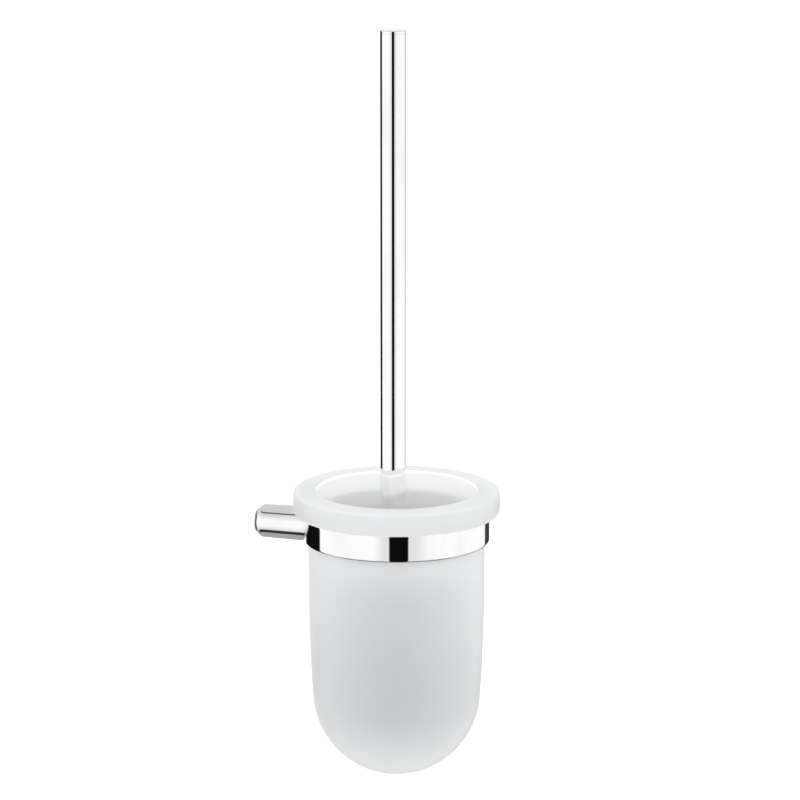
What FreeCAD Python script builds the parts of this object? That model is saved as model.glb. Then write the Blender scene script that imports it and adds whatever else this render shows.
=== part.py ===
"""Wall-hung toilet brush holder: a glass bowl that hangs in a ring, and its brush.

The frame has its origin on the wall, at the centre of the arm's wall end. +X runs along
the arm, away from the wall, and +Z is up. All sizes are millimetres.
"""
import FreeCAD, Part
import math
import os

import Sketcher

DOC_NAME = "ToiletBrushHolder"
SHEET = "Sizes"

# The driving dimensions: name, value, what it is.
SIZES = [
    ("arm_length", 28.3, "wall to the outside of the ring"),
    ("arm_wall_diameter", 18.1, "arm at the wall"),
    ("arm_ring_diameter", 18.7, "arm at the ring"),
    ("arm_end_rounding", 4.6, "rounding of the arm's wall end"),
    ("arm_drop", 2.4, "arm's axis below the ring's mid-height"),
    ("spigot_diameter", 13.0, "wall spigot inside the arm"),
    ("spigot_length", 18.0, "wall spigot"),
    ("spigot_clearance", 0.05, "radial play of the arm on the spigot"),
    ("stud_hole_diameter", 5.0, "tapped hole for an M6 wall stud"),
    ("stud_hole_depth", 13.0, "tapped hole for the wall stud"),
    ("grub_diameter", 4.0, "set screw"),
    ("grub_position", 10.0, "set screw's distance from the wall"),
    ("grub_bite", 0.8, "depth of the set screw's cup in the spigot"),
    ("grub_recess", 0.6, "set screw below the arm's surface"),
    ("hex_key_size", 2.0, "socket in the set screw"),
    ("ring_diameter", 99.4, "outside of the ring"),
    ("ring_wall", 1.8, "ring's wall"),
    ("ring_height", 14.8, "ring's height"),
    ("ring_rounding", 1.6, "ring's lower outer edge"),
    ("ring_screw_diameter", 4.0, "screw from the ring into the arm"),
    ("ring_screw_head", 6.6, "its countersunk head"),
    ("ring_screw_length", 8.0, "its length"),
    ("screw_clearance", 0.1, "radial play of a screw in its hole"),
    ("liner_wall", 0.5, "liner between the ring and the glass"),
    ("liner_lip", 0.6, "liner's lip on top of the ring"),
    ("liner_lip_inset", 0.5, "lip's edge inside the ring's edge"),
    ("glass_clearance", 0.3, "radial play of the glass in the liner"),
    ("rim_diameter", 110.0, "glass rim"),
    ("rim_height", 12.4, "glass rim"),
    ("rim_rounding", 1.9, "outer edges of the glass rim"),
    ("mouth_rounding", 1.4, "inner edge of the glass rim"),
    ("glass_wall", 4.9, "glass thickness"),
    ("bowl_depth", 156.5, "rim's top to the bottom of the glass"),
    ("bowl_straight", 46.0, "rim's top to the end of the straight wall"),
    ("bowl_bottom_radius", 45.0, "round bottom of the glass"),
    ("brush_shift", -2.0, "the brush stands this far off the bowl's axis"),
    ("brush_length", 394.9, "brush, tip to top"),
    ("head_radius", 35.0, "brush head"),
    ("head_seat_gap", 0.3, "bristles to glass where the brush stands"),
    ("tip_height", 15.0, "bristles of the round end"),
    ("row_pitch", 7.5, "one row of bristles to the next"),
    ("row_gap", 0.4, "gap between two rows at the outside"),
    ("row_root", 5.0, "height of a row at the core"),
    ("core_radius", 9.0, "brush core"),
    ("core_bottom", 8.0, "core's lower end above the tip"),
    ("core_top_margin", 2.5, "core above the last row"),
    ("boss_height", 12.0, "neck of the core under the handle"),
    ("handle_diameter", 13.5, "handle tube"),
    ("handle_wall", 1.0, "handle tube"),
    ("insert_length", 16.0, "threaded plug in the handle"),
    ("cap_thickness", 1.6, "visible part of the handle's cap"),
    ("cap_plug_length", 6.0, "cap's plug inside the tube"),
    ("cap_edge", 0.4, "bevel of the cap's top edge"),
    ("head_stud_diameter", 8.0, "stud, head to handle"),
    ("head_stud_depth", 14.0, "stud's length in the core, and in the plug"),
    ("fit_clearance", 0.05, "radial play of plugs and threads"),
]
ROW_COUNT = 9

# Places that follow from the driving dimensions, as expressions.
RING_BOTTOM = "(Sizes.arm_drop - Sizes.ring_height / 2)"
RING_TOP = "(Sizes.arm_drop + Sizes.ring_height / 2)"
RING_RADIUS = "(Sizes.ring_diameter / 2)"
REACH = f"(Sizes.arm_length + {RING_RADIUS})"
RING_BORE = "(Sizes.ring_diameter / 2 - Sizes.ring_wall)"
NECK_RADIUS = f"({RING_BORE} - Sizes.liner_wall - Sizes.glass_clearance)"
MOUTH_RADIUS = f"({NECK_RADIUS} - Sizes.glass_wall)"
RIM_LEVEL = f"({RING_TOP} + Sizes.liner_lip + Sizes.rim_height)"
BORE_RADIUS = "(Sizes.spigot_diameter / 2 + Sizes.spigot_clearance)"
HEAD_ROOM = "(Sizes.bowl_bottom_radius - Sizes.glass_wall - Sizes.head_radius)"
HEAD_LIFT = (f"({HEAD_ROOM} - sqrt(({HEAD_ROOM} - Sizes.head_seat_gap)^2"
             " - Sizes.brush_shift^2))")
BRUSH_LEVEL = f"({RIM_LEVEL} - Sizes.bowl_depth + Sizes.glass_wall + {HEAD_LIFT})"
CORE_TOP = f"(Sizes.tip_height + {ROW_COUNT} * Sizes.row_pitch + Sizes.core_top_margin)"
HANDLE_START = f"({CORE_TOP} + Sizes.boss_height)"
TUBE_BORE = "(Sizes.handle_diameter / 2 - Sizes.handle_wall)"
PLUG_RADIUS = f"({TUBE_BORE} - Sizes.fit_clearance)"

doc = FreeCAD.newDocument(DOC_NAME)
sheet = doc.addObject("Spreadsheet::Sheet", SHEET)
for row, (name, value, note) in enumerate(SIZES, start=1):
    sheet.set(f"A{row}", name)
    sheet.set(f"B{row}", str(value))
    sheet.set(f"C{row}", note)
    sheet.setAlias(f"B{row}", name)
doc.recompute()

parts = []


def value_of(expression):
    """The value of an expression of the sheet, in millimetres."""
    return float(sheet.evalExpression(expression.replace("Sizes.", "")))


def place(item, x="0", z="0"):
    """Put a sub-part's own origin at x, z of the part's frame, by expression."""
    item.setExpression("Placement.Base.x", x)
    item.setExpression("Placement.Base.z", z)


def sub_part(item, label, x="0", z="0"):
    """Name a finished sub-part, place it and list it."""
    item.Label = label
    place(item, x, z)
    parts.append(item)
    return item


def new_body(name):
    return doc.addObject("PartDesign::Body", name + "_body")


def origin_plane(body, role):
    return [item for item in body.Origin.OriginFeatures if item.Role == role][0]


def new_sketch(body, name, role="XZ_Plane"):
    sketch = body.newObject("Sketcher::SketchObject", name)
    sketch.AttachmentSupport = [(origin_plane(body, role), "")]
    sketch.MapMode = "FlatFace"
    return sketch


def pin_point(sketch, geometry, end, across, up):
    """Tie one point of a sketch to its two coordinates, each an expression."""
    for kind, axis, expression in (("DistanceX", -2, across), ("DistanceY", -1, up)):
        if expression is None:
            continue
        value = value_of(expression)
        if expression == "0":
            sketch.addConstraint(Sketcher.Constraint("PointOnObject", geometry, end, axis))
        else:
            index = sketch.addConstraint(
                Sketcher.Constraint(kind, -1, 1, geometry, end, value))
            sketch.setExpression(f"Constraints[{index}]", expression)


def draw_outline(sketch, points):
    """A closed outline of straight lines through points given as expressions."""
    corners = [FreeCAD.Vector(value_of(across), value_of(up), 0) for across, up in points]
    count = len(corners)
    for index in range(count):
        sketch.addGeometry(Part.LineSegment(corners[index], corners[(index + 1) % count]))
    for index in range(count):
        sketch.addConstraint(
            Sketcher.Constraint("Coincident", index, 2, (index + 1) % count, 1))
    for index, (across, up) in enumerate(points):
        pin_point(sketch, index, 1, across, up)


def draw_circle(sketch, across, up, radius):
    """A circle with its centre and radius given as expressions."""
    centre = FreeCAD.Vector(value_of(across), value_of(up), 0)
    circle = Part.Circle(centre, FreeCAD.Vector(0, 0, 1), value_of(radius))
    index = sketch.addGeometry(circle)
    pin_point(sketch, index, 3, across, up)
    size = sketch.addConstraint(Sketcher.Constraint("Radius", index, value_of(radius)))
    sketch.setExpression(f"Constraints[{size}]", radius)


def turn(body, sketch, axis="V_Axis", kind="Revolution"):
    """Turn a sketch a full circle about one of its own axes; a Groove removes it."""
    before = body.Shape.Volume if body.Tip else 0.0
    feature = body.newObject(f"PartDesign::{kind}", f"{sketch.Name}_{kind}")
    feature.Profile = sketch
    feature.ReferenceAxis = (sketch, [axis])
    feature.Angle = 360.0
    sketch.Visibility = False
    doc.recompute()
    check_change(feature, before, kind == "Groove")
    return feature


def cut_through(body, sketch, both_ways=False, depth=None, reverse=False):
    """Cut a sketch through the body, or to a depth."""
    before = body.Shape.Volume
    feature = body.newObject("PartDesign::Pocket", sketch.Name + "_Pocket")
    feature.Profile = sketch
    feature.Reversed = reverse
    if depth is None:
        feature.Type = "ThroughAll"
        feature.Midplane = both_ways
    else:
        feature.Type = "Length"
        feature.setExpression("Length", depth)
    sketch.Visibility = False
    doc.recompute()
    check_change(feature, before, True)
    return feature


def check_change(feature, before, removes):
    """Stop when a feature changed nothing, or changed it the wrong way."""
    change = feature.Shape.Volume - before
    if (removes and change > -0.01) or (not removes and change < 0.01):
        raise RuntimeError(f"{feature.Name} changed the volume by {change:.3f}")


def round_edges(body, name, radius, level, edge_radius, kind="Fillet"):
    """Round, or bevel, the circular edges at one level and radius about the body's Z."""
    base = body.Tip
    wanted = []
    for index, edge in enumerate(base.Shape.Edges, start=1):
        if edge.Degenerated or not isinstance(edge.Curve, Part.Circle):
            continue
        curve = edge.Curve
        if abs(curve.Center.z - value_of(level)) > 0.01:
            continue
        if abs(curve.Radius - value_of(edge_radius)) < 0.01:
            wanted.append(f"Edge{index}")
    if not wanted:
        raise RuntimeError(f"{name}: no edge to round")
    feature = body.newObject(f"PartDesign::{kind}", name)
    feature.Base = (base, wanted)
    feature.setExpression("Radius" if kind == "Fillet" else "Size", radius)
    doc.recompute()
    return feature


def turned(label, outline, axis="V_Axis", x="0", z="0"):
    """A sub-part turned from one straight-lined outline."""
    body = new_body(label)
    sketch = new_sketch(body, label + "_outline")
    draw_outline(sketch, outline)
    turn(body, sketch, axis)
    return sub_part(body, label, x, z)


# ---- the holder ----------------------------------------------------------------

def make_wall_bracket():
    """A spigot with a tapped hole for the wall stud and a cup for the set screw."""
    radius = "Sizes.spigot_diameter / 2"
    body = new_body("wall_bracket")
    outline = new_sketch(body, "spigot_outline")
    draw_outline(outline, [
        ("0", "0"), ("Sizes.spigot_length", "0"), ("Sizes.spigot_length", radius),
        ("0", radius)])
    turn(body, outline, "H_Axis")
    hole = new_sketch(body, "stud_hole", "YZ_Plane")
    draw_circle(hole, "0", "0", "Sizes.stud_hole_diameter / 2")
    cut_through(body, hole, depth="Sizes.stud_hole_depth", reverse=True)
    cup = new_sketch(body, "grub_cup", "XY_Plane")
    draw_circle(cup, "Sizes.grub_position", "0",
                "Sizes.grub_diameter / 2 + Sizes.screw_clearance")
    cup.setExpression("AttachmentOffset.Base.z", f"-({radius})")
    cut_through(body, cup, depth="Sizes.grub_bite", reverse=True)
    sub_part(body, "wall_bracket")


def make_arm():
    """A slightly tapered bar, bored for the spigot and saddled to the ring."""
    body = new_body("arm")
    raw_end = "(Sizes.arm_length + Sizes.ring_wall)"
    outline = new_sketch(body, "arm_outline")
    draw_outline(outline, [
        ("0", "0"), (raw_end, "0"), (raw_end, "Sizes.arm_ring_diameter / 2"),
        ("0", "Sizes.arm_wall_diameter / 2")])
    turn(body, outline, "H_Axis")
    base = body.Tip
    wall_edge = [
        f"Edge{index}" for index, edge in enumerate(base.Shape.Edges, start=1)
        if isinstance(edge.Curve, Part.Circle) and abs(edge.Curve.Center.x) < 0.01]
    rounding = body.newObject("PartDesign::Fillet", "arm_end")
    rounding.Base = (base, wall_edge)
    rounding.setExpression("Radius", "Sizes.arm_end_rounding")
    doc.recompute()
    saddle = new_sketch(body, "ring_saddle", "XY_Plane")
    draw_circle(saddle, REACH, "0", RING_RADIUS)
    cut_through(body, saddle, both_ways=True)
    bore = new_sketch(body, "spigot_bore", "YZ_Plane")
    draw_circle(bore, "0", "0", BORE_RADIUS)
    cut_through(body, bore, depth="Sizes.spigot_length + Sizes.grub_recess", reverse=True)
    grub_hole = new_sketch(body, "grub_hole", "XY_Plane")
    draw_circle(grub_hole, "Sizes.grub_position", "0",
                "Sizes.grub_diameter / 2 + Sizes.fit_clearance")
    cut_through(body, grub_hole, depth="Sizes.arm_ring_diameter")
    screw_hole = new_sketch(body, "screw_hole", "YZ_Plane")
    draw_circle(screw_hole, "0", "0",
                "Sizes.ring_screw_diameter / 2 + Sizes.fit_clearance")
    screw_hole.setExpression("AttachmentOffset.Base.z", "Sizes.arm_length + Sizes.ring_wall")
    cut_through(body, screw_hole, depth="Sizes.ring_screw_length + Sizes.ring_wall")
    sub_part(body, "arm")


def make_grub_screw():
    """A set screw with a hexagon socket, from the spigot to just inside the arm."""
    top = "-(Sizes.spigot_diameter / 2 - Sizes.grub_bite)"
    bottom = "-(Sizes.arm_wall_diameter / 2 - Sizes.grub_recess)"
    length = f"({top} - ({bottom}))"
    screw = doc.addObject("Part::Cylinder", "grub_blank")
    screw.setExpression("Radius", "Sizes.grub_diameter / 2")
    screw.setExpression("Height", length)
    socket = doc.addObject("Part::Prism", "grub_socket")
    socket.Polygon = 6
    socket.setExpression("Circumradius", "Sizes.hex_key_size / 2 / cos(30)")
    socket.setExpression("Height", f"{length} / 2")
    cut = doc.addObject("Part::Cut", "grub_screw_cut")
    cut.Base = screw
    cut.Tool = socket
    sub_part(cut, "grub_screw", "Sizes.grub_position", bottom)


def make_ring():
    """A flat ring with a rounded lower edge and a countersunk hole for its screw."""
    body = new_body("ring")
    outline = new_sketch(body, "ring_outline")
    draw_outline(outline, [
        (RING_BORE, RING_BOTTOM), (RING_RADIUS, RING_BOTTOM),
        (RING_RADIUS, RING_TOP), (RING_BORE, RING_TOP)])
    turn(body, outline)
    round_edges(body, "ring_lower_edge", "Sizes.ring_rounding", RING_BOTTOM, RING_RADIUS)
    hole = new_sketch(body, "ring_screw_hole")
    draw_outline(hole, countersunk_outline(f"(-{RING_BORE})", "Sizes.screw_clearance"))
    turn(body, hole, "H_Axis", "Groove")
    sub_part(body, "ring", REACH)


def countersunk_outline(face, play):
    """Half a countersunk screw along -X, from its head's face to its tip, with play."""
    shank = f"(Sizes.ring_screw_diameter / 2 + {play})"
    head = f"(Sizes.ring_screw_head / 2 + {play})"
    throat = f"({face} - ({head} - {shank}))"
    tip = f"({face} - Sizes.ring_screw_length)"
    return [(face, "0"), (face, head), (throat, shank), (tip, shank), (tip, "0")]


def make_ring_screw():
    """The countersunk screw, its head's face just below the ring's bore."""
    face = f"(-{RING_BORE} - Sizes.screw_clearance)"
    turned("ring_screw", countersunk_outline(face, "0"), "H_Axis", REACH)


def make_bowl_liner():
    """A thin sleeve inside the ring with a lip that lies on the ring's top."""
    inner = f"({RING_BORE} - Sizes.liner_wall)"
    lip_edge = f"({RING_RADIUS} - Sizes.liner_lip_inset)"
    lip_top = f"({RING_TOP} + Sizes.liner_lip)"
    turned("bowl_liner", [
        (inner, RING_BOTTOM), (RING_BORE, RING_BOTTOM), (RING_BORE, RING_TOP),
        (lip_edge, RING_TOP), (lip_edge, lip_top), (inner, lip_top)], x=REACH)


# ---- the bowl ------------------------------------------------------------------

def draw_vessel(sketch, wall_radius, bottom_radius, top):
    """Half a vessel: a straight wall, a slow arc, and a round bottom on the axis.

    The slow arc is tangent to both its neighbours, so its radius follows from them.
    """
    centre_up = "-(Sizes.bowl_depth - Sizes.bowl_bottom_radius)"
    wall = value_of(wall_radius)
    bottom = value_of(bottom_radius)
    straight_up = -value_of("Sizes.bowl_straight")
    centre = value_of(centre_up)
    drop = straight_up - centre
    spread = wall - bottom
    slow_radius = (drop ** 2 + spread ** 2) / (2 * spread) + bottom
    lean = math.atan2(drop, slow_radius - wall)
    joint = FreeCAD.Vector(bottom * math.cos(lean), centre - bottom * math.sin(lean), 0)
    normal = FreeCAD.Vector(0, 0, 1)
    slow_circle = Part.Circle(
        FreeCAD.Vector(wall - slow_radius, straight_up, 0), normal, slow_radius)
    round_circle = Part.Circle(FreeCAD.Vector(0, centre, 0), normal, bottom)
    axis_top = FreeCAD.Vector(0, value_of(top), 0)
    wall_top = FreeCAD.Vector(wall, value_of(top), 0)
    wall_end = FreeCAD.Vector(wall, straight_up, 0)
    axis_end = FreeCAD.Vector(0, centre - bottom, 0)
    sketch.addGeometry(Part.LineSegment(axis_top, wall_top))
    sketch.addGeometry(Part.LineSegment(wall_top, wall_end))
    sketch.addGeometry(Part.ArcOfCircle(slow_circle, -lean, 0))
    sketch.addGeometry(Part.ArcOfCircle(round_circle, -math.pi / 2, -lean))
    sketch.addGeometry(Part.LineSegment(axis_end, axis_top))
    sketch.addConstraint(Sketcher.Constraint("Coincident", 0, 2, 1, 1))
    sketch.addConstraint(Sketcher.Constraint("Tangent", 1, 2, 2, 2))
    sketch.addConstraint(Sketcher.Constraint("Tangent", 2, 1, 3, 2))
    sketch.addConstraint(Sketcher.Constraint("Coincident", 3, 1, 4, 1))
    sketch.addConstraint(Sketcher.Constraint("Coincident", 4, 2, 0, 1))
    pin_point(sketch, 0, 1, "0", top)
    pin_point(sketch, 1, 1, wall_radius, top)
    pin_point(sketch, 1, 2, wall_radius, "-Sizes.bowl_straight")
    pin_point(sketch, 3, 3, "0", centre_up)
    pin_point(sketch, 3, 1, "0", None)
    size = sketch.addConstraint(Sketcher.Constraint("Radius", 3, bottom))
    sketch.setExpression(f"Constraints[{size}]", bottom_radius)


def make_glass_bowl():
    """The glass: a thick round rim on a vessel with a round bottom."""
    body = new_body("glass_bowl")
    rim_radius = "(Sizes.rim_diameter / 2)"
    outside = new_sketch(body, "bowl_outside")
    draw_vessel(outside, NECK_RADIUS, "Sizes.bowl_bottom_radius", "0")
    turn(body, outside)
    rim = new_sketch(body, "bowl_rim")
    draw_outline(rim, [
        ("0", "-Sizes.rim_height"), (rim_radius, "-Sizes.rim_height"),
        (rim_radius, "0"), ("0", "0")])
    turn(body, rim)
    inside = new_sketch(body, "bowl_inside")
    draw_vessel(inside, MOUTH_RADIUS, "(Sizes.bowl_bottom_radius - Sizes.glass_wall)", "0")
    turn(body, inside, kind="Groove")
    round_edges(body, "rim_top_edge", "Sizes.rim_rounding", "0", rim_radius)
    round_edges(body, "rim_lower_edge", "Sizes.rim_rounding", "-Sizes.rim_height",
                rim_radius)
    round_edges(body, "mouth_edge", "Sizes.mouth_rounding", "0", MOUTH_RADIUS)
    sub_part(body, "glass_bowl", REACH, RIM_LEVEL)


# ---- the brush -----------------------------------------------------------------

BRUSH_X = f"{REACH} + Sizes.brush_shift"


def head_outline_radius(level):
    """The head's radius at a level: a round end, then a straight side."""
    below = f"max(Sizes.head_radius - ({level}); 0)"
    return f"sqrt(Sizes.head_radius^2 - ({below})^2)"


def make_handle():
    """A tube with a flat cap at the top and a tapped plug at the bottom."""
    radius = "(Sizes.handle_diameter / 2)"
    tube_end = "(Sizes.brush_length - Sizes.cap_thickness)"
    turned("handle_tube", [
        (TUBE_BORE, HANDLE_START), (radius, HANDLE_START), (radius, tube_end),
        (TUBE_BORE, tube_end)], x=BRUSH_X, z=BRUSH_LEVEL)
    plug_end = f"({tube_end} - Sizes.cap_plug_length)"
    cap = turned("handle_cap", [
        ("0", plug_end), (PLUG_RADIUS, plug_end), (PLUG_RADIUS, tube_end),
        (radius, tube_end), (radius, "Sizes.brush_length"), ("0", "Sizes.brush_length")],
        x=BRUSH_X, z=BRUSH_LEVEL)
    round_edges(cap, "cap_top_edge", "Sizes.cap_edge", "Sizes.brush_length", radius,
                "Chamfer")
    insert_end = f"({HANDLE_START} + Sizes.insert_length)"
    thread = "(Sizes.head_stud_diameter / 2 + Sizes.fit_clearance)"
    turned("handle_insert", [
        (thread, HANDLE_START), (PLUG_RADIUS, HANDLE_START), (PLUG_RADIUS, insert_end),
        (thread, insert_end)], x=BRUSH_X, z=BRUSH_LEVEL)


def make_head():
    """The core with its stud, and the bristles as one plain solid for each row."""
    neck = "(Sizes.handle_diameter / 2)"
    thread = "(Sizes.head_stud_diameter / 2 + Sizes.fit_clearance)"
    stud_bottom = f"({HANDLE_START} - Sizes.head_stud_depth)"
    turned("brush_core", [
        ("0", "Sizes.core_bottom"), ("Sizes.core_radius", "Sizes.core_bottom"),
        ("Sizes.core_radius", CORE_TOP), (neck, CORE_TOP), (neck, HANDLE_START),
        (thread, HANDLE_START), (thread, stud_bottom), ("0", stud_bottom)],
        x=BRUSH_X, z=BRUSH_LEVEL)
    stud = doc.addObject("Part::Cylinder", "head_stud_rod")
    stud.setExpression("Radius", "Sizes.head_stud_diameter / 2")
    stud.setExpression("Height", "2 * Sizes.head_stud_depth")
    sub_part(stud, "head_stud", BRUSH_X, f"{BRUSH_LEVEL} + {stud_bottom}")
    make_bristle_tip()
    for number in range(1, ROW_COUNT + 1):
        make_bristle_row(number)


def make_bristle_tip():
    """The round end: a ball's cap, with a pocket for the end of the core."""
    ball = doc.addObject("Part::Sphere", "tip_ball")
    ball.setExpression("Radius", "Sizes.head_radius")
    ball.setExpression("Placement.Base.z", "Sizes.head_radius")
    slab = doc.addObject("Part::Cylinder", "tip_slab")
    slab.setExpression("Radius", "Sizes.head_radius")
    slab.setExpression("Height", "Sizes.tip_height - Sizes.row_gap / 2")
    cap = doc.addObject("Part::Common", "tip_cap")
    cap.Base = ball
    cap.Tool = slab
    pocket = doc.addObject("Part::Cylinder", "tip_pocket")
    pocket.setExpression("Radius", "Sizes.core_radius")
    pocket.setExpression("Height", "Sizes.tip_height")
    pocket.setExpression("Placement.Base.z", "Sizes.core_bottom")
    tip = doc.addObject("Part::Cut", "tip_cut")
    tip.Base = cap
    tip.Tool = pocket
    sub_part(tip, "bristle_tip", BRUSH_X, BRUSH_LEVEL)


def make_bristle_row(number):
    """One row: narrow at the core and spread at the outside, where it follows the head."""
    low = f"(Sizes.tip_height + {number - 1} * Sizes.row_pitch)"
    high = f"({low} + Sizes.row_pitch)"
    root = "(Sizes.row_pitch - Sizes.row_root) / 2"
    gap = "Sizes.row_gap / 2"
    turned(f"bristle_row_{number}", [
        ("Sizes.core_radius", f"{low} + {root}"),
        (head_outline_radius(low), f"{low} + {gap}"),
        (head_outline_radius(high), f"{high} - {gap}"),
        ("Sizes.core_radius", f"{high} - {root}")], x=BRUSH_X, z=BRUSH_LEVEL)


def check_and_write():
    """Stop on any failed object, then write each sub-part's shape to its own file."""
    doc.recompute()
    for item in doc.Objects:
        if "Invalid" in item.State or "Error" in item.State:
            raise RuntimeError(f"{item.Name} ({item.Label}) failed: {item.State}")
    os.makedirs("parts", exist_ok=True)
    for item in parts:
        shape = item.Shape
        if shape.isNull() or not shape.isValid() or not shape.Solids:
            raise RuntimeError(f"{item.Label} has no valid solid")
        shape.exportStep(f"parts/{item.Label}.step")
        box = shape.BoundBox
        print(f"{item.Label}: {shape.Volume:.0f} mm3, x {box.XMin:.2f} {box.XMax:.2f},"
              f" y {box.YMin:.2f} {box.YMax:.2f}, z {box.ZMin:.2f} {box.ZMax:.2f}")


make_wall_bracket()
make_arm()
make_grub_screw()
make_ring()
make_ring_screw()
make_bowl_liner()
make_glass_bowl()
make_handle()
make_head()
check_and_write()
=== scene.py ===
"""A wall-hung toilet brush holder: frosted bowl, chrome ring and arm, and its brush.

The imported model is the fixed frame. Every size below starts from its boxes, in metres.
"""
import math
import random

import bmesh
import bpy
from bpy.props import FloatProperty, FloatVectorProperty, IntProperty, PointerProperty
from mathutils import Matrix, Vector


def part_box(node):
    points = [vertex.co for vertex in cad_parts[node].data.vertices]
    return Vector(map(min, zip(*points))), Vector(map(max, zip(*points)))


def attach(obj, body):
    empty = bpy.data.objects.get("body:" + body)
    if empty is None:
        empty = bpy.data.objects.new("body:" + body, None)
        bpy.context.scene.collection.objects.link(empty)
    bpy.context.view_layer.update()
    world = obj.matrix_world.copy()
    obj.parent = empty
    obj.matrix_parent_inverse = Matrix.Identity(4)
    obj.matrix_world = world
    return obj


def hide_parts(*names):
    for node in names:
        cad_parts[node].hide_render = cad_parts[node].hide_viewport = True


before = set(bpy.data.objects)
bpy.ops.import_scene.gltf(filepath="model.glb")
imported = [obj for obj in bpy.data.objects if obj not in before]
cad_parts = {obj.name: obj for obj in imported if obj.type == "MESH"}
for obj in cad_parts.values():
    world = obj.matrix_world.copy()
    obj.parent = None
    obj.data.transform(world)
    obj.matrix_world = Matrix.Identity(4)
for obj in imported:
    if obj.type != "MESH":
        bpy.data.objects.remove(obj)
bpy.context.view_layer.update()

bl_info = {
    "name": "Toilet brush holder",
    "version": (1, 0, 0),
    "blender": (4, 5, 0),
    "location": "View3D > Sidebar > Brush holder",
    "description": "Builds the visible pieces of a wall-hung toilet brush holder",
    "category": "Object",
}

MM = 0.001
ROUND_STEPS = 160
HOLD = 2.2 * MM
LINER_WALL = 0.5 * MM
ARM_RECESS = 0.6 * MM
PLAY = 0.05 * MM
CORE_SHOULDER = 12 * MM
CORE_END_ROUNDING = 3 * MM
CORE_SHOULDER_ROUNDING = 1 * MM
CORE_NECK_ROUNDING = 0.3 * MM
TIP_RINGS = ((0, 1), (16, 6), (32, 11), (47, 15))  # lean in degrees, and tufts
TIP_SPREAD = 3.6 * MM
FLOOR_RADIUS = 40.0
SKY_STRENGTH = 1.5
MIRRORED_STRENGTH = 1.08
CEILING_TONE = 0.66
GROUND_TONE = 0.38
ROW_NAMES = sorted(
    (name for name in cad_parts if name.startswith("bristle_row_")),
    key=lambda name: int(name.rsplit("_", 1)[1]))


def middle(node):
    """The centre of a CAD node's box."""
    low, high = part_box(node)
    return (low + high) / 2


def radius_of(node):
    """Half the widest level side of a CAD node that is round about a vertical axis."""
    low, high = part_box(node)
    return max(high.x - low.x, high.y - low.y) / 2


RING_LOW, RING_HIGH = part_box("ring")
BOWL_LOW, BOWL_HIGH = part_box("glass_bowl")
LINER_LOW, LINER_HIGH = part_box("bowl_liner")
ARM_LOW, ARM_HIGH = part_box("arm")
SPIGOT_LOW, SPIGOT_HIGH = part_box("wall_bracket")
TUBE_LOW, TUBE_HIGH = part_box("handle_tube")
CAP_LOW, CAP_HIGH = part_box("handle_cap")
CORE_LOW, CORE_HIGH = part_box("brush_core")
TIP_LOW, TIP_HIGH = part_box("bristle_tip")
BOWL_AXIS = Vector((middle("ring").x, 0, 0))
BRUSH_AXIS = Vector((middle("handle_tube").x, 0, 0))
ARM_AXIS = Vector((0, 0, (ARM_LOW.z + ARM_HIGH.z) / 2))


# ---- sizes and colours a user would change ----------------------------------------

def length(name, description, default):
    return FloatProperty(
        name=name, description=description, default=default, min=0.0, unit="LENGTH",
        precision=5)


def tint(name, description, default):
    return FloatVectorProperty(
        name=name, description=description, default=default, size=3, min=0.0, max=1.0,
        subtype="COLOR")


class BowlSettings(bpy.types.PropertyGroup):
    """The glass bowl."""
    wall: length("Wall", "Thickness of the glass", 4.9 * MM)
    rim_height: length("Rim height", "Height of the thick rim", 12.4 * MM)
    neck_radius: length("Neck radius", "Outside of the glass under the rim", 47.1 * MM)
    bottom_radius: length("Bottom radius", "Outside of the round bottom", 45.0 * MM)
    straight: length("Straight wall", "Rim's top to the end of the straight wall", 46 * MM)
    rim_rounding: length("Rim rounding", "Outer edges of the rim", 1.9 * MM)
    mouth_rounding: length("Mouth rounding", "Inner edge of the rim", 1.4 * MM)
    glass: tint("Glass", "Etched glass seen square on", (0.585, 0.602, 0.615))
    # Painted edge sheen: the lighter colour of the glass where it is seen along its skin.
    glass_edge_painted_sheen: tint("Glass edge", "Etched glass seen along its skin", (1.0, 1.0, 1.0))
    # Painted light: the lighter colour of the thick rim clear of the ring.
    glass_rim_painted_light: tint("Glass rim", "Thick glass clear of the ring", (0.80, 0.805, 0.81))
    # Painted light: the lighter colour of the rim's flat top.
    glass_top_painted_light: tint("Glass top", "Flat top of the rim", (0.93, 0.935, 0.94))
    # Painted light: the brighter colour of the inner wall at the rim.
    glass_inside_painted_light: tint("Glass inside", "Inner wall at the rim", (1.0, 1.0, 1.0))
    glass_through: tint("Glass through", "Light that soaks through", (0.8, 0.805, 0.81))


class MetalSettings(bpy.types.PropertyGroup):
    """The ring, the arm and the handle."""
    ring_wall: length("Ring wall", "Thickness of the ring", 1.8 * MM)
    ring_rounding: length("Ring rounding", "Lower outer edge of the ring", 1.6 * MM)
    edge: length("Small edges", "Rounding of the ring's and handle's other edges", 0.35 * MM)
    arm_wall_radius: length("Arm at the wall", "Radius of the arm at the wall", 9.05 * MM)
    arm_rounding: length("Arm rounding", "Rounding of the arm's wall end", 4.6 * MM)
    cap_seam: length("Cap seam", "Width of the seam under the handle's cap", 0.03 * MM)
    tube_wall: length("Tube wall", "Thickness of the handle's tube", 1.0 * MM)
    chrome: tint("Chrome", "Colour of the polished metal", (0.915, 0.915, 0.92))
    steel: tint("Steel", "Colour of the turned steel", (0.52, 0.525, 0.53))


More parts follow.
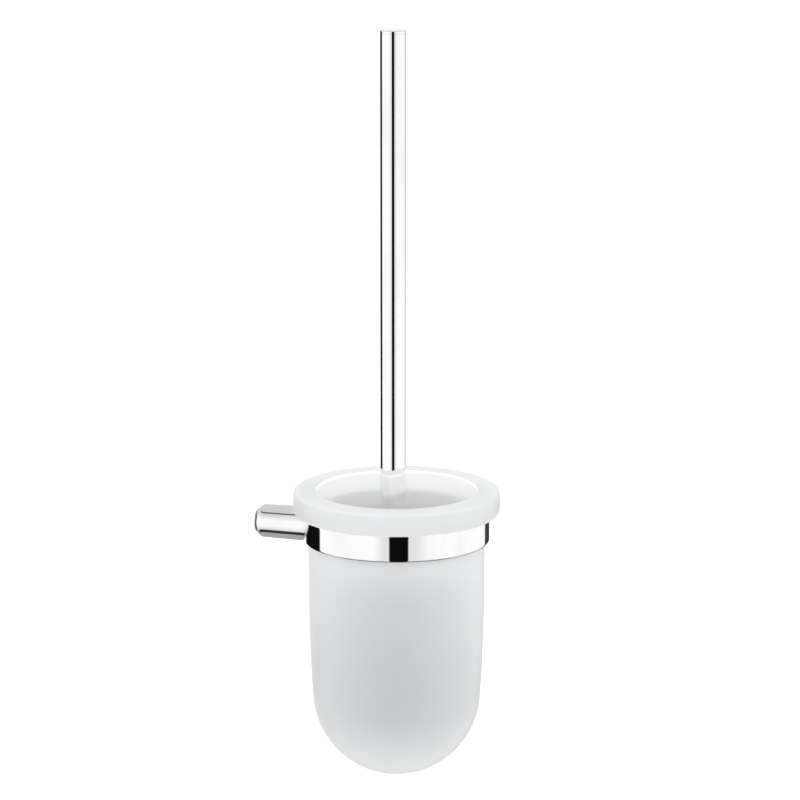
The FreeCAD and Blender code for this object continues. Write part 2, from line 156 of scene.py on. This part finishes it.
class BrushSettings(bpy.types.PropertyGroup):
    """The brush head."""
    tufts: IntProperty(
        name="Tufts", description="Tufts in a row", default=15, min=6, max=24)
    filaments: IntProperty(
        name="Filaments", description="Filaments in a tuft", default=26, min=6, max=60)
    filament_radius: length("Filament radius", "Half a filament's thickness", 0.26 * MM)
    tuft_radius: length("Tuft radius", "Radius of a tuft at the core", 1.9 * MM)
    nylon: tint("Nylon", "Colour of the bristles", (0.86, 0.87, 0.87))
    plastic: tint("Plastic", "Colour of the brush core", (0.58, 0.59, 0.60))


class StudioSettings(bpy.types.PropertyGroup):
    """The camera and the light."""
    azimuth: FloatProperty(
        name="Azimuth", description="Camera's bearing", default=math.radians(17),
        subtype="ANGLE")
    elevation: FloatProperty(
        name="Elevation", description="Camera's height angle",
        default=math.radians(12.56), subtype="ANGLE")
    distance: length("Distance", "Camera to the point it looks at", 1.870)
    above_rim: length("Above the rim", "Point looked at, above the rim", 48.4 * MM)
    beside_axis: length("Beside the axis", "Point looked at, to the right", 1.85 * MM)
    lens: FloatProperty(name="Lens", description="Focal length", default=159.3, min=10)
    floor_drop: length("Floor drop", "Floor below the bowl", 0.30)


# ---- meshes ------------------------------------------------------------------------

def finish_mesh(bm, name, material, body, replaced):
    """Turn a bmesh into a smooth piece that rides on a body and stands for CAD nodes."""
    mesh = bpy.data.meshes.new(name)
    bm.to_mesh(mesh)
    bm.free()
    mesh.shade_smooth()
    mesh.set_sharp_from_angle(angle=math.radians(50))
    mesh.materials.append(material)
    piece = bpy.data.objects.new(name, mesh)
    bpy.context.scene.collection.objects.link(piece)
    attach(piece, body)
    if replaced:
        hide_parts(*replaced)
    return piece


def hold_straights(points):
    """Add a point near each end of a long straight, so that it's shaded as flat."""
    held = [points[0]]
    for first, second in zip(points, points[1:]):
        span = math.dist(first, second)
        if span > 2.5 * HOLD:
            for share in (HOLD / span, 1 - HOLD / span):
                held.append(tuple(a + (b - a) * share for a, b in zip(first, second)))
        held.append(second)
    return held


def spin_outline(points, axis_point, axis, across, closed=False):
    """Spin an outline of (distance from the axis, place along it) a full circle."""
    if closed:
        points = hold_straights(points + points[:1])[:-1]
    else:
        points = hold_straights(points)
    bm = bmesh.new()
    corners = [
        bm.verts.new(axis_point + across * out + axis * along) for out, along in points]
    for first, second in zip(corners, corners[1:]):
        bm.edges.new((first, second))
    if closed:
        bm.edges.new((corners[-1], corners[0]))
    bmesh.ops.spin(
        bm, geom=bm.verts[:] + bm.edges[:], cent=axis_point, axis=axis, dvec=(0, 0, 0),
        angle=math.tau, steps=ROUND_STEPS, use_merge=True)
    bmesh.ops.remove_doubles(bm, verts=bm.verts[:], dist=1e-6)
    bmesh.ops.recalc_face_normals(bm, faces=bm.faces[:])
    return bm


def upright(points, axis_point, closed=False):
    """Spin an outline of (radius, height) about a vertical axis."""
    return spin_outline(points, axis_point, Vector((0, 0, 1)), Vector((1, 0, 0)), closed)


def soften(bm, axis_point, axis, out, along, width, segments=5):
    """Round the circle of edges at one distance from the axis and one place along it."""
    circle = []
    for edge in bm.edges:
        ends = [vert.co - axis_point for vert in edge.verts]
        alongs = [end.dot(axis) for end in ends]
        outs = [(end - axis * place).length for end, place in zip(ends, alongs)]
        near = all(abs(place - along) < 2e-5 for place in alongs)
        if near and all(abs(distance - out) < 5e-5 for distance in outs):
            circle.append(edge)
    if not circle:
        raise RuntimeError(f"no edge at {out:.5f}, {along:.5f}")
    bmesh.ops.bevel(
        bm, geom=circle, offset=width, offset_type="OFFSET", segments=segments,
        profile=0.5, affect="EDGES", material=-1, clamp_overlap=True)


def arc(centre, radius, start, end, steps):
    """Points of an arc in an outline's plane, from one angle to the other."""
    turns = [start + (end - start) * step / steps for step in range(steps + 1)]
    return [(centre[0] + radius * math.cos(turn), centre[1] + radius * math.sin(turn))
            for turn in turns]


def vessel_side(wall_radius, bottom_radius, straight_level, centre_level):
    """From the straight wall's end, by a slow arc and a round bottom, to the axis."""
    drop = straight_level - centre_level
    spread = wall_radius - bottom_radius
    slow = (drop ** 2 + spread ** 2) / (2 * spread) + bottom_radius
    lean = math.atan2(drop, slow - wall_radius)
    side = arc((wall_radius - slow, straight_level), slow, 0, -lean, 24)
    bottom = arc((0, centre_level), bottom_radius, -lean, -math.pi / 2, 40)
    return side + bottom[1:-1] + [(0, centre_level - bottom_radius)]


# ---- materials ---------------------------------------------------------------------

class Sum:
    """A shader socket that takes part in ordinary arithmetic."""

    def __init__(self, tree, socket):
        self.tree = tree
        self.socket = socket

    def maths(self, operation, *values):
        node = self.tree.node(
            "ShaderNodeMath", {"operation": operation}, dict(enumerate(values)))
        return Sum(self.tree, node.outputs[0])

    def __add__(self, other):
        return self.maths("ADD", self, other)

    def __sub__(self, other):
        return self.maths("SUBTRACT", self, other)

    def __mul__(self, other):
        return self.maths("MULTIPLY", self, other)

    def __rsub__(self, other):
        return self.maths("SUBTRACT", other, self)

    __radd__ = __add__
    __rmul__ = __mul__

    def rise(self, low, high):
        """0 below low, 1 above high, and a smooth step between."""
        node = self.tree.node(
            "ShaderNodeMapRange", {"interpolation_type": "SMOOTHSTEP"},
            {"Value": self, "From Min": low, "From Max": high})
        return Sum(self.tree, node.outputs[0])

    def band(self, low, high, soft):
        """1 between low and high, and 0 outside."""
        return self.rise(low - soft, low + soft) * (1 - self.rise(high - soft, high + soft))


class Tree:
    """A node tree, with one method that makes any node."""

    def __init__(self, owner):
        owner.use_nodes = True
        self.tree = owner.node_tree
        self.tree.nodes.clear()

    def node(self, kind, settings=None, inputs=None):
        made = self.tree.nodes.new(kind)
        for name, value in (settings or {}).items():
            setattr(made, name, value)
        for name, value in (inputs or {}).items():
            if isinstance(value, Sum):
                value = value.socket
            if isinstance(value, bpy.types.NodeSocket):
                self.tree.links.new(value, made.inputs[name])
            else:
                made.inputs[name].default_value = value
        return made

    def number(self, node, output=0):
        return Sum(self, node.outputs[output])

    def noise(self, scale, detail=3.0, stretch=(1, 1, 1)):
        """Noise on object coordinates, at a scale in cells a metre."""
        place = self.node("ShaderNodeTexCoord")
        turned = self.node(
            "ShaderNodeMapping", None,
            {"Vector": place.outputs["Object"], "Scale": stretch})
        made = self.node(
            "ShaderNodeTexNoise", None,
            {"Vector": turned.outputs[0], "Scale": scale, "Detail": detail})
        return self.number(made)

    def mix_colour(self, factor, first, second):
        made = self.node(
            "ShaderNodeMix", {"data_type": "RGBA"}, {0: factor, 6: first, 7: second})
        return made.outputs[2]

    def bump(self, height, strength, distance):
        made = self.node(
            "ShaderNodeBump", None,
            {"Height": height, "Strength": strength, "Distance": distance})
        return made.outputs[0]

    def end(self, shader, kind="ShaderNodeOutputMaterial"):
        self.node(kind, None, {0: shader})


def colour(rgb):
    return (*rgb, 1.0)


def new_material(name):
    material = bpy.data.materials.new(name)
    return material, Tree(material)


def polished_chrome(rgb):
    """Mirror plating: faint polishing haze, and hardly any ripple."""
    material, tree = new_material("polished_chrome")
    haze = tree.noise(90, 4, (1, 1, 0.4)).rise(0.35, 0.75)
    ripple = tree.noise(45, 2)
    deep = tuple(channel * 0.94 for channel in rgb)
    shader = tree.node("ShaderNodeBsdfPrincipled", None, {
        "Base Color": tree.mix_colour(haze, colour(rgb), colour(deep)),
        "Metallic": 1.0,
        "Roughness": 0.014 + haze * 0.016,
        "Normal": tree.bump(ripple, 0.02, 0.0004)})
    tree.end(shader.outputs[0])
    return material


def turned_steel(rgb):
    """Turned steel with fine tool marks."""
    material, tree = new_material("turned_steel")
    marks = tree.noise(1800, 2, (1, 0.05, 0.05))
    shader = tree.node("ShaderNodeBsdfPrincipled", None, {
        "Base Color": tree.mix_colour(
            marks, colour(rgb), colour(tuple(channel * 0.8 for channel in rgb))),
        "Metallic": 1.0,
        "Roughness": 0.28 + marks * 0.18,
        "Normal": tree.bump(marks, 0.2, 0.00005)})
    tree.end(shader.outputs[0])
    return material


def etched_glass(bowl):
    """Acid-etched glass with a satin skin. Its colour holds painted light: a painted sheen
    along its edges, painted light near the ring, at the round end, in the thick rim and on
    its top, and a painted bright inner wall at the rim.
    """
    material, tree = new_material("etched_glass")
    etch = tree.noise(2600, 2)
    cloud = tree.noise(26, 3)
    place = tree.node("ShaderNodeTexCoord")
    split = tree.node("ShaderNodeSeparateXYZ", None, {0: place.outputs["Object"]})
    level = tree.number(split, 2)
    # Painted edge sheen: the glass colour turns lighter where the glass is seen along its
    # skin.
    layer = tree.node("ShaderNodeLayerWeight", None, {"Blend": 0.5})
    grazing_painted_sheen = level.maths("POWER", tree.number(layer, 1), 0.65)
    # Painted light: the glass is lighter towards the ring and towards the round end, so the
    # middle reads as painted shade. The cloud noise that scales it is random tone.
    near_ring_painted_light = level.rise(RING_LOW.z - 26 * MM, RING_LOW.z + 2 * MM) * 0.5
    round_end_painted_light = (1 - level.rise(BOWL_LOW.z, BOWL_LOW.z + 44 * MM)) * 0.8
    painted_light_ends = near_ring_painted_light + round_end_painted_light
    painted_light_share = (grazing_painted_sheen + painted_light_ends * (1 - grazing_painted_sheen)) * (0.94 + cloud * 0.12)
    body = tree.mix_colour(painted_light_share, colour(bowl.glass), colour(bowl.glass_edge_painted_sheen))
    # Painted light: the thick rim clear of the ring is lighter than the body, and its flat
    # top lighter still.
    rim_painted_light_mask = level.rise(RING_HIGH.z - MM, RING_HIGH.z + 2 * MM)
    top_painted_light_mask = level.rise(BOWL_HIGH.z - 2.2 * MM, BOWL_HIGH.z - 0.5 * MM)
    rim = tree.mix_colour(top_painted_light_mask, colour(bowl.glass_rim_painted_light), colour(bowl.glass_top_painted_light))
    outside = tree.mix_colour(rim_painted_light_mask, body, rim)
    # Painted light: the inner wall just below the rim is brighter.
    centred = tree.node("ShaderNodeMapping", None, {
        "Vector": place.outputs["Object"], "Location": -BOWL_AXIS, "Scale": (1, 1, 0)})
    spread = tree.node("ShaderNodeVectorMath", {"operation": "LENGTH"},
                       {0: centred.outputs[0]})
    mouth = bowl.neck_radius - bowl.wall
    within = 1 - tree.number(spread, "Value").rise(mouth + 0.3 * MM, mouth + 1.2 * MM)
    inside_painted_light = within * level.rise(RING_HIGH.z - 18 * MM, RING_HIGH.z - 4 * MM)
    skin = tree.mix_colour(inside_painted_light, outside, colour(bowl.glass_inside_painted_light))
    satin = tree.node("ShaderNodeBsdfPrincipled", None, {
        "Base Color": skin,
        "Roughness": 0.36 + cloud * 0.06,
        "IOR": 1.5,
        "Transmission Weight": 0.3,
        "Normal": tree.bump(etch, 0.12, 0.00004)})
    through = tree.node(
        "ShaderNodeBsdfTranslucent", None, {"Color": colour(bowl.glass_through)})
    # Where the inner wall has its painted light, the mix is all satin, with none of the
    # translucent shader.
    both = tree.node(
        "ShaderNodeMixShader", None,
        {0: (1 - inside_painted_light) * 0.4, 1: satin.outputs[0], 2: through.outputs[0]})
    tree.end(both.outputs[0])
    return material


def clear_sleeve():
    """Soft clear plastic of the liner."""
    material, tree = new_material("clear_sleeve")
    grain = tree.noise(900, 2)
    shader = tree.node("ShaderNodeBsdfPrincipled", None, {
        "Base Color": (0.82, 0.84, 0.85, 1.0),
        "Roughness": 0.3 + grain * 0.1,
        "Transmission Weight": 0.6,
        "IOR": 1.46})
    tree.end(shader.outputs[0])
    return material


def moulded_plastic(rgb):
    """White moulded plastic with a faint orange peel."""
    material, tree = new_material("moulded_plastic")
    peel = tree.noise(700, 2)
    tone = tree.noise(40, 3)
    shader = tree.node("ShaderNodeBsdfPrincipled", None, {
        "Base Color": tree.mix_colour(
            tone, colour(rgb), colour(tuple(channel * 0.95 for channel in rgb))),
        "Roughness": 0.38 + peel * 0.1,
        "Normal": tree.bump(peel, 0.1, 0.00005)})
    tree.end(shader.outputs[0])
    return material


def nylon(rgb):
    """White nylon filament, slightly warmer and cooler from place to place."""
    material, tree = new_material("nylon_filament")
    tone = tree.noise(160, 4)
    shader = tree.node("ShaderNodeBsdfPrincipled", None, {
        "Base Color": tree.mix_colour(
            tone, colour(rgb), colour(tuple(channel * 0.88 for channel in rgb))),
        "Roughness": 0.34 + tone * 0.16})
    tree.end(shader.outputs[0])
    return material


# ---- operators ---------------------------------------------------------------------

FINISHES = {}


def finish_of(name):
    """The material of a finish, made once from the current settings."""
    metal = bpy.context.scene.holder_metal
    brush = bpy.context.scene.holder_brush
    bowl = bpy.context.scene.holder_bowl
    makers = {
        "chrome": lambda: polished_chrome(metal.chrome),
        "steel": lambda: turned_steel(metal.steel),
        "glass": lambda: etched_glass(bowl),
        "liner": clear_sleeve,
        "plastic": lambda: moulded_plastic(brush.plastic),
        "nylon": lambda: nylon(brush.nylon),
    }
    if name not in FINISHES:
        FINISHES[name] = makers[name]()
    return FINISHES[name]


class HOLDER_OT_metal_fixings(bpy.types.Operator):
    """Give the hidden fixings, which keep their CAD shape, their finish"""
    bl_idname = "holder.metal_fixings"
    bl_label = "Fixings"

    def execute(self, context):
        for node in ("wall_bracket", "grub_screw", "ring_screw", "handle_insert",
                     "head_stud"):
            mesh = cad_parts[node].data
            mesh.materials.clear()
            mesh.materials.append(finish_of("steel"))
        return {"FINISHED"}


class HOLDER_OT_arm(bpy.types.Operator):
    """Build the round arm, saddled to the ring"""
    bl_idname = "holder.arm"
    bl_label = "Arm"

    def execute(self, context):
        metal = context.scene.holder_metal
        along = Vector((1, 0, 0))
        bore = (SPIGOT_HIGH.z - SPIGOT_LOW.z) / 2 + PLAY
        wall_radius = metal.arm_wall_radius
        ring_radius = (ARM_HIGH.z - ARM_LOW.z) / 2
        reach_end = ARM_HIGH.x
        rounding = metal.arm_rounding
        bore_angle = math.acos((bore - wall_radius + rounding) / rounding)
        nose = arc((wall_radius - rounding, rounding), rounding, -bore_angle, 0, 16)
        depth = SPIGOT_HIGH.x + ARM_RECESS
        outline = [(0, depth), (bore, depth)] + nose
        length_steps = 12
        for step in range(1, length_steps + 1):
            share = step / length_steps
            outline.append((wall_radius + (ring_radius - wall_radius) * share,
                            rounding + (reach_end - rounding) * share))
        outline.append((0, reach_end))
        bm = spin_outline(outline, ARM_AXIS, along, Vector((0, 0, 1)))
        ring_out = radius_of("ring")
        for vert in bm.verts:
            flat = Vector((vert.co.x - BOWL_AXIS.x, vert.co.y))
            if vert.co.x > depth + MM:
                limit = BOWL_AXIS.x - math.sqrt(ring_out ** 2 - vert.co.y ** 2)
                full = (vert.co.x - depth - MM) / (reach_end - depth - MM)
                vert.co.x = depth + MM + full * (limit - depth - MM)
        finish_mesh(bm, "arm_bar", finish_of("chrome"), "holder", ["arm"])
        return {"FINISHED"}


class HOLDER_OT_ring(bpy.types.Operator):
    """Build the flat ring and the thin sleeve inside it"""
    bl_idname = "holder.ring"
    bl_label = "Ring and liner"

    def execute(self, context):
        metal = context.scene.holder_metal
        up = Vector((0, 0, 1))
        outside = radius_of("ring")
        bore = outside - metal.ring_wall
        bottom, top = RING_LOW.z, RING_HIGH.z
        bm = upright([(bore, bottom), (outside, bottom), (outside, top), (bore, top)],
                     BOWL_AXIS, closed=True)
        soften(bm, BOWL_AXIS, up, outside, bottom, metal.ring_rounding, 10)
        soften(bm, BOWL_AXIS, up, outside, top, metal.edge, 4)
        soften(bm, BOWL_AXIS, up, bore, bottom, metal.edge / 2, 3)
        finish_mesh(bm, "ring_band", finish_of("chrome"), "holder", ["ring"])
        sleeve = bore - LINER_WALL
        lip = radius_of("bowl_liner")
        bm = upright([
            (sleeve, LINER_LOW.z), (bore, LINER_LOW.z), (bore, top), (lip, top),
            (lip, LINER_HIGH.z), (sleeve, LINER_HIGH.z)], BOWL_AXIS, closed=True)
        finish_mesh(bm, "liner_sleeve", finish_of("liner"), "holder",
                    ["bowl_liner"])
        return {"FINISHED"}


class HOLDER_OT_bowl(bpy.types.Operator):
    """Build the etched glass bowl with its thick rim"""
    bl_idname = "holder.bowl"
    bl_label = "Glass bowl"

    def execute(self, context):
        bowl = context.scene.holder_bowl
        up = Vector((0, 0, 1))
        top, bottom = BOWL_HIGH.z, BOWL_LOW.z
        rim = radius_of("glass_bowl")
        neck = bowl.neck_radius
        mouth = neck - bowl.wall
        centre = bottom + bowl.bottom_radius
        straight = top - bowl.straight
        under = top - bowl.rim_height
        outside = vessel_side(neck, bowl.bottom_radius, straight, centre)
        inside = vessel_side(mouth, bowl.bottom_radius - bowl.wall, straight, centre)
        outline = inside[::-1] + [(mouth, top), (rim, top), (rim, under), (neck, under)]
        bm = upright(outline + outside, BOWL_AXIS)
        soften(bm, BOWL_AXIS, up, rim, top, bowl.rim_rounding, 10)
        soften(bm, BOWL_AXIS, up, rim, under, bowl.rim_rounding, 10)
        soften(bm, BOWL_AXIS, up, mouth, top, bowl.mouth_rounding, 8)
        finish_mesh(bm, "bowl_glass", finish_of("glass"), "bowl",
                    ["glass_bowl"])
        return {"FINISHED"}


class HOLDER_OT_handle(bpy.types.Operator):
    """Build the handle's tube and its flat cap"""
    bl_idname = "holder.handle"
    bl_label = "Handle"

    def execute(self, context):
        metal = context.scene.holder_metal
        up = Vector((0, 0, 1))
        radius = radius_of("handle_tube")
        bore = radius - metal.tube_wall
        seam = metal.cap_seam
        bottom, top = TUBE_LOW.z, TUBE_HIGH.z - seam / 2
        bm = upright([(bore, bottom), (radius, bottom), (radius, top), (bore, top)],
                     BRUSH_AXIS, closed=True)
        soften(bm, BRUSH_AXIS, up, radius, top, seam, 2)
        soften(bm, BRUSH_AXIS, up, radius, bottom, metal.edge / 2, 3)
        finish_mesh(bm, "handle_rod", finish_of("chrome"), "brush",
                    ["handle_tube"])
        plug = bore - PLAY
        low = TUBE_HIGH.z + seam / 2
        bm = upright([
            (0, CAP_LOW.z), (plug, CAP_LOW.z), (plug, low), (radius, low),
            (radius, CAP_HIGH.z), (0, CAP_HIGH.z)], BRUSH_AXIS)
        soften(bm, BRUSH_AXIS, up, radius, CAP_HIGH.z, metal.edge, 4)
        soften(bm, BRUSH_AXIS, up, radius, low, seam, 2)
        finish_mesh(bm, "handle_top", finish_of("chrome"), "brush",
                    ["handle_cap"])
        return {"FINISHED"}


class HOLDER_OT_brush_head(bpy.types.Operator):
    """Build the brush core and its rows of nylon tufts"""
    bl_idname = "holder.brush_head"
    bl_label = "Brush head"

    def execute(self, context):
        brush = context.scene.holder_brush
        self.make_core()
        draws = random.Random(7)
        core = radius_of("brush_core")
        for number, node in enumerate(ROW_NAMES):
            low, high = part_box(node)
            level = (low.z + high.z) / 2
            bm = bmesh.new()
            for tuft in range(brush.tufts):
                turn = math.tau * (tuft + 0.5 * (number % 2)) / brush.tufts
                outward = Vector((math.cos(turn), math.sin(turn), 0))
                root = BRUSH_AXIS + outward * (core - MM) + Vector((0, 0, level))
                reach = min(radius_of(node), self.head_radius_at(level))
                self.add_tuft(bm, draws, brush, root, outward, reach - core + MM,
                              (high.z - low.z) / 2)
            finish_mesh(bm, node + "_tufts", finish_of("nylon"), "brush",
                        [node])
        self.make_tip(draws, brush)
        return {"FINISHED"}

    def head_radius_at(self, level):
        head = radius_of(ROW_NAMES[-1])
        below = max(TIP_LOW.z + head - level, 0)
        return math.sqrt(head ** 2 - below ** 2)

    def make_core(self):
        """The core's rod with a rounded end, and the neck that meets the handle."""
        up = Vector((0, 0, 1))
        radius = radius_of("brush_core")
        neck = radius_of("handle_tube")
        shoulder = CORE_HIGH.z - CORE_SHOULDER
        bm = upright([
            (0, CORE_LOW.z), (radius, CORE_LOW.z), (radius, shoulder), (neck, shoulder),
            (neck, CORE_HIGH.z), (0, CORE_HIGH.z)], BRUSH_AXIS)
        soften(bm, BRUSH_AXIS, up, radius, CORE_LOW.z, CORE_END_ROUNDING, 6)
        soften(bm, BRUSH_AXIS, up, radius, shoulder, CORE_SHOULDER_ROUNDING, 4)
        soften(bm, BRUSH_AXIS, up, neck, CORE_HIGH.z, CORE_NECK_ROUNDING, 3)
        finish_mesh(bm, "core_moulding", finish_of("plastic"), "brush",
                    ["brush_core"])

    def add_tuft(self, bm, draws, brush, root, outward, reach, spread):
        """One tuft: filaments from a small hole, fanned a little at their tips."""
        side = outward.orthogonal().normalized()
        other = outward.cross(side)
        for _ in range(brush.filaments):
            turn = draws.uniform(0, math.tau)
            share = math.sqrt(draws.random())
            offset = (side * math.cos(turn) + other * math.sin(turn)) * share
            start = root + offset * brush.tuft_radius
            length_now = reach * draws.uniform(0.95, 0.995)
            end = root + outward * length_now + offset * spread * 0.93
            run = end - start
            matrix = Matrix.Translation((start + end) / 2) @ (
                run.to_track_quat("Z", "Y").to_matrix().to_4x4())
            bmesh.ops.create_cone(
                bm, cap_ends=True, segments=5, radius1=brush.filament_radius,
                radius2=brush.filament_radius * 0.8, depth=run.length, matrix=matrix)

    def make_tip(self, draws, brush):
        """The round end: tufts that point down and out from the core's end."""
        widest = math.sin(math.radians(TIP_RINGS[-1][0]))
        head = radius_of(ROW_NAMES[-1])
        core = radius_of("brush_core")
        centre = BRUSH_AXIS + Vector((0, 0, TIP_LOW.z + head))
        bm = bmesh.new()
        for lean_degrees, count in TIP_RINGS:
            lean = math.radians(lean_degrees)
            for tuft in range(count):
                turn = math.tau * (tuft + 0.5 * (lean_degrees % 2)) / count
                root_out = core * 0.85 * math.sin(lean) / widest
                root = BRUSH_AXIS + Vector((
                    root_out * math.cos(turn), root_out * math.sin(turn),
                    CORE_LOW.z + 1.5 * MM + lean_degrees * 0.09 * MM))
                aim = centre + head * 0.965 * Vector((
                    math.sin(lean) * math.cos(turn), math.sin(lean) * math.sin(turn),
                    -math.cos(lean)))
                run = aim - root
                self.add_tuft(bm, draws, brush, root, run.normalized(), run.length,
                              TIP_SPREAD)
        finish_mesh(bm, "bristle_tip_tufts", finish_of("nylon"), "brush",
                    ["bristle_tip"])


class HOLDER_OT_stage(bpy.types.Operator):
    """Set the floor, the light and the camera"""
    bl_idname = "holder.stage"
    bl_label = "Stage"

    def execute(self, context):
        studio = context.scene.holder_studio
        self.make_floor(studio)
        self.make_world(studio)
        self.make_camera(context, studio)
        context.scene.view_settings.view_transform = "Standard"
        return {"FINISHED"}

    def make_floor(self, studio):
        level = BOWL_LOW.z - studio.floor_drop
        bm = bmesh.new()
        bmesh.ops.create_circle(
            bm, cap_ends=True, radius=FLOOR_RADIUS, segments=64,
            matrix=Matrix.Translation((0, 0, level)))
        mesh = bpy.data.meshes.new("studio_floor")
        bm.to_mesh(mesh)
        bm.free()
        material, tree = new_material("pale_floor")
        grain = tree.noise(30, 2)
        shader = tree.node("ShaderNodeBsdfPrincipled", None, {
            "Base Color": tree.mix_colour(
                grain, (0.97, 0.97, 0.97, 1), (0.95, 0.95, 0.95, 1)),
            "Roughness": 1.0,
            "Specular IOR Level": 0.0})
        tree.end(shader.outputs[0])
        mesh.materials.append(material)
        floor = bpy.data.objects.new("studio_floor", mesh)
        floor.visible_glossy = False
        bpy.context.scene.collection.objects.link(floor)

    def make_world(self, studio):
        """White all round; what the chrome mirrors has dark upright gaps."""
        world = bpy.data.worlds.new("studio")
        tree = Tree(world)
        place = tree.node("ShaderNodeTexCoord")
        camera_bearing = studio.azimuth - math.pi / 2
        turned = tree.node(
            "ShaderNodeVectorRotate", {"rotation_type": "Z_AXIS"},
            {"Vector": place.outputs["Generated"], "Angle": -camera_bearing})
        split = tree.node("ShaderNodeSeparateXYZ", None, {0: turned.outputs[0]})
        east = tree.number(split, 0)
        north = tree.number(split, 1)
        rise = tree.number(split, 2)
        bearing = rise.maths("ARCTAN2", north, east) * math.degrees(1)
        front = bearing.band(-9, 14.5, 1.0)
        left = bearing.band(-150, -109, 1.5)
        behind = bearing.band(141, 165, 2)
        dip = bearing.band(-22, 32, 9) * 0.22
        tall = (rise.rise(0.25, 0.85) + (1 - rise.rise(-0.8, -0.25))) * 0.3
        side = (1 - dip) * (1 - tall) * (1 - front * 0.995) * (1 - left * 0.995)
        side = side * (1 - behind * 0.95)
        forward = bearing.band(-104, 104, 3)
        over_back = (1 - forward) * rise.rise(0.08, 0.16)
        under_back = (1 - forward) * (1 - rise.rise(-0.6, -0.5))
        ceiling = rise.maths("MAXIMUM", rise.rise(0.905, 0.912), over_back)
        gap = rise.band(0.835, 0.905, 0.004) * forward
        ground = rise.maths("MAXIMUM", 1 - rise.rise(-0.925, -0.915), under_back)
        ground_gap = rise.band(-0.915, -0.73, 0.006) * forward
        mirrored = side * (1 - ceiling) + ceiling * CEILING_TONE
        mirrored = mirrored * (1 - gap * 0.8) * (1 - ground_gap * 0.95)
        mirrored = mirrored * (1 - ground) + ground * GROUND_TONE
        mirrored = mirrored * MIRRORED_STRENGTH
        path = tree.node("ShaderNodeLightPath")
        glossy = tree.number(path, "Is Glossy Ray")
        strength = mirrored * glossy + (1 - glossy) * SKY_STRENGTH
        light = tree.node(
            "ShaderNodeBackground", None,
            {"Color": (1.0, 1.0, 1.0, 1.0), "Strength": strength})
        tree.end(light.outputs[0], "ShaderNodeOutputWorld")
        bpy.context.scene.world = world

    def make_camera(self, context, studio):
        right = Vector((math.cos(studio.azimuth), math.sin(studio.azimuth), 0))
        level_back = Vector((math.sin(studio.azimuth), -math.cos(studio.azimuth), 0))
        back = (level_back * math.cos(studio.elevation)
                + Vector((0, 0, math.sin(studio.elevation))))
        target = (BOWL_AXIS + Vector((0, 0, BOWL_HIGH.z + studio.above_rim))
                  + right * studio.beside_axis)
        data = bpy.data.cameras.new("studio_camera")
        data.lens = studio.lens
        data.sensor_width = 36.0
        camera = bpy.data.objects.new("studio_camera", data)
        camera.location = target + back * studio.distance
        camera.rotation_euler = back.to_track_quat("Z", "Y").to_euler()
        context.scene.collection.objects.link(camera)
        context.scene.camera = camera


class HOLDER_PT_panel(bpy.types.Panel):
    """The holder's pieces, in the order that they are built"""
    bl_idname = "HOLDER_PT_panel"
    bl_label = "Brush holder"
    bl_space_type = "VIEW_3D"
    bl_region_type = "UI"
    bl_category = "Brush holder"

    def draw(self, context):
        for group in (context.scene.holder_bowl, context.scene.holder_metal,
                      context.scene.holder_brush, context.scene.holder_studio):
            box = self.layout.box()
            for name in group.bl_rna.properties.keys():
                if name not in ("name", "rna_type"):
                    box.prop(group, name)
        for operator in OPERATORS:
            self.layout.operator(operator.bl_idname)


SETTINGS = (
    ("holder_bowl", BowlSettings), ("holder_metal", MetalSettings),
    ("holder_brush", BrushSettings), ("holder_studio", StudioSettings))
OPERATORS = (
    HOLDER_OT_stage, HOLDER_OT_metal_fixings, HOLDER_OT_arm, HOLDER_OT_ring,
    HOLDER_OT_bowl, HOLDER_OT_handle, HOLDER_OT_brush_head)


def register():
    for name, group in SETTINGS:
        bpy.utils.register_class(group)
        setattr(bpy.types.Scene, name, PointerProperty(type=group))
    for operator in OPERATORS:
        bpy.utils.register_class(operator)
    bpy.utils.register_class(HOLDER_PT_panel)


def unregister():
    bpy.utils.unregister_class(HOLDER_PT_panel)
    for operator in reversed(OPERATORS):
        bpy.utils.unregister_class(operator)
    for name, group in reversed(SETTINGS):
        delattr(bpy.types.Scene, name)
        bpy.utils.unregister_class(group)


def main():
    register()
    for operator in OPERATORS:
        family, name = operator.bl_idname.split(".")
        getattr(getattr(bpy.ops, family), name)()


if __name__ == "__main__":
    main()
